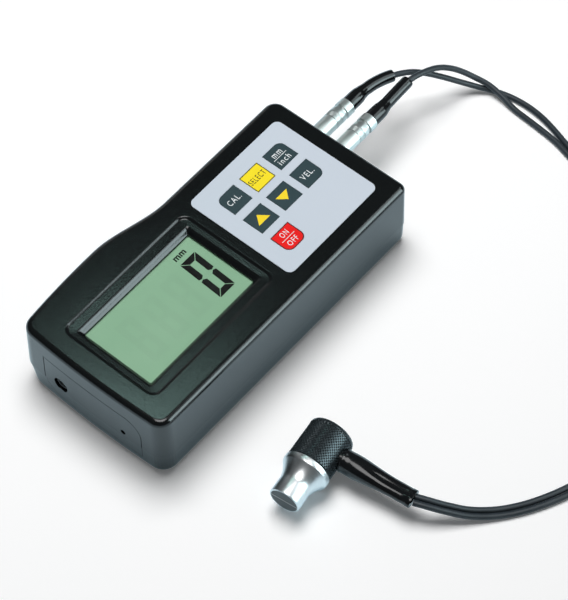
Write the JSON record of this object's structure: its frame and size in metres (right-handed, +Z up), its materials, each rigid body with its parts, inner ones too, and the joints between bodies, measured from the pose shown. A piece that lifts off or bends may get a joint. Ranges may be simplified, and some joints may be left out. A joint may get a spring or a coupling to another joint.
{
  "type": "ultrasonic thickness gauge",
  "caption": "Hand-held ultrasonic thickness gauge with a recessed display, a printed keypad and a dual-element probe on a twin coaxial lead.",
  "frame": {"origin": "on the underside of the case, in the middle of its length and on the centre line of the keypad end", "axes": "+Z up out of the top face, +Y from the display end to the connector end, +X towards the straight right wall"},
  "size_m": [0.2176, 0.2495, 0.0386],
  "materials": {
    "case_plastic": "satin moulded, near black",
    "film_print": "printed polyester film, pale grey-blue",
    "key_slate": "printed film over a moulded key, slate",
    "key_yellow": "printed film over a moulded key, yellow",
    "key_red": "printed film over a moulded key, red",
    "window_clear": "clear acrylic, polished",
    "lcd_cell": "reflective liquid-crystal glass, grey-green",
    "frame_white": "moulded, off-white",
    "zebra_rubber": "layered conductive rubber",
    "board_laminate": "glass-epoxy with green solder resist",
    "chip_black": "moulded epoxy",
    "tin_plate": "tin-plated sheet steel",
    "can_blue": "sleeved aluminium can",
    "screw_steel": "zinc-plated steel",
    "jack_black": "moulded socket body",
    "cell_jacket": "plain printed jacket",
    "contact_steel": "nickel-plated spring steel",
    "plug_nickel": "nickel-plated brass",
    "boot_black": "shrunk-on tubing, glossy black",
    "cord_black": "smooth cord jacket, slate black",
    "tie_black": "soft wire tie",
    "cap_black": "knurled aluminium, black anodised",
    "nose_steel": "turned steel, bright",
    "delay_grey": "ground plastic delay line",
    "barrier_pale": "cork and resin sheet",
    "crystal_ceramic": "silvered ceramic",
    "damping_epoxy": "filled epoxy"
  },
  "bodies": {
    "gauge": {"front_cover": "case_plastic", "rear_cover": "case_plastic", "end_panel": "case_plastic", "keypad_film": "film_print", "lcd_window": "window_clear", "lcd_glass": "lcd_cell", "lcd_frame": "frame_white", "zebra_strips": "zebra_rubber", "main_board": "board_laminate", "processor_chip": "chip_black", "key_switches": "chip_black", "pulser_shield": "tin_plate", "capacitors": "can_blue", "case_screws": "screw_steel", "board_screws": "screw_steel", "interface_jack": "jack_black", "battery_cell_1": "cell_jacket", "battery_cell_2": "cell_jacket", "battery_cell_3": "cell_jacket", "battery_cell_4": "cell_jacket", "battery_springs": "contact_steel", "battery_plates": "contact_steel", "socket_transmit": "plug_nickel", "socket_receive": "plug_nickel", "socket_nuts": "plug_nickel"},
    "key_cal": {"key_cal": "key_slate"},
    "key_select": {"key_select": "key_yellow"},
    "key_unit": {"key_unit": "key_slate"},
    "key_up": {"key_up": "key_slate"},
    "key_down": {"key_down": "key_slate"},
    "key_velocity": {"key_velocity": "key_slate"},
    "key_power": {"key_power": "key_red"},
    "battery_door": {"battery_door": "case_plastic"},
    "probe_lead": {"plug_transmit": "plug_nickel", "plug_receive": "plug_nickel", "boot_transmit": "boot_black", "boot_receive": "boot_black", "lead_out_transmit": "cord_black", "lead_out_receive": "cord_black", "lead_in_transmit": "cord_black", "lead_in_receive": "cord_black", "lead_coil": "cord_black", "coil_tie": "tie_black", "probe_cap": "cap_black", "probe_nose": "nose_steel", "delay_line_a": "delay_grey", "delay_line_b": "delay_grey", "acoustic_barrier": "barrier_pale", "crystals": "crystal_ceramic", "damping_block": "damping_epoxy", "probe_boot": "boot_black"},
    "sleeve_transmit": {"sleeve_transmit": "plug_nickel"},
    "sleeve_receive": {"sleeve_receive": "plug_nickel"}
  },
  "joints": [
    {"name": "key_cal_press", "type": "slide", "parent": "gauge", "child": "key_cal", "axis": [0, 0, -1], "range_m": [0, 0.0004], "stiffness_N_per_m": 2000},
    {"name": "key_select_press", "type": "slide", "parent": "gauge", "child": "key_select", "axis": [0, 0, -1], "range_m": [0, 0.0004], "stiffness_N_per_m": 2000},
    {"name": "key_unit_press", "type": "slide", "parent": "gauge", "child": "key_unit", "axis": [0, 0, -1], "range_m": [0, 0.0004], "stiffness_N_per_m": 2000},
    {"name": "key_up_press", "type": "slide", "parent": "gauge", "child": "key_up", "axis": [0, 0, -1], "range_m": [0, 0.0004], "stiffness_N_per_m": 2000},
    {"name": "key_down_press", "type": "slide", "parent": "gauge", "child": "key_down", "axis": [0, 0, -1], "range_m": [0, 0.0004], "stiffness_N_per_m": 2000},
    {"name": "key_velocity_press", "type": "slide", "parent": "gauge", "child": "key_velocity", "axis": [0, 0, -1], "range_m": [0, 0.0004], "stiffness_N_per_m": 2000},
    {"name": "key_power_press", "type": "slide", "parent": "gauge", "child": "key_power", "axis": [0, 0, -1], "range_m": [0, 0.0004], "stiffness_N_per_m": 2000},
    {"name": "battery_door_slide", "type": "slide", "parent": "gauge", "child": "battery_door", "axis": [0, 1, 0], "range_m": [0, 0.058]},
    {"name": "lead_unplug", "type": "slide", "parent": "gauge", "child": "probe_lead", "axis": [0, 1, 0], "range_m": [0, 0.012]},
    {"name": "sleeve_transmit_pull", "type": "slide", "parent": "probe_lead", "child": "sleeve_transmit", "axis": [0, 1, 0], "range_m": [0, 0.001], "stiffness_N_per_m": 2500},
    {"name": "sleeve_receive_pull", "type": "slide", "parent": "probe_lead", "child": "sleeve_receive", "axis": [0, 1, 0], "range_m": [0, 0.001], "stiffness_N_per_m": 2500}
  ]
}
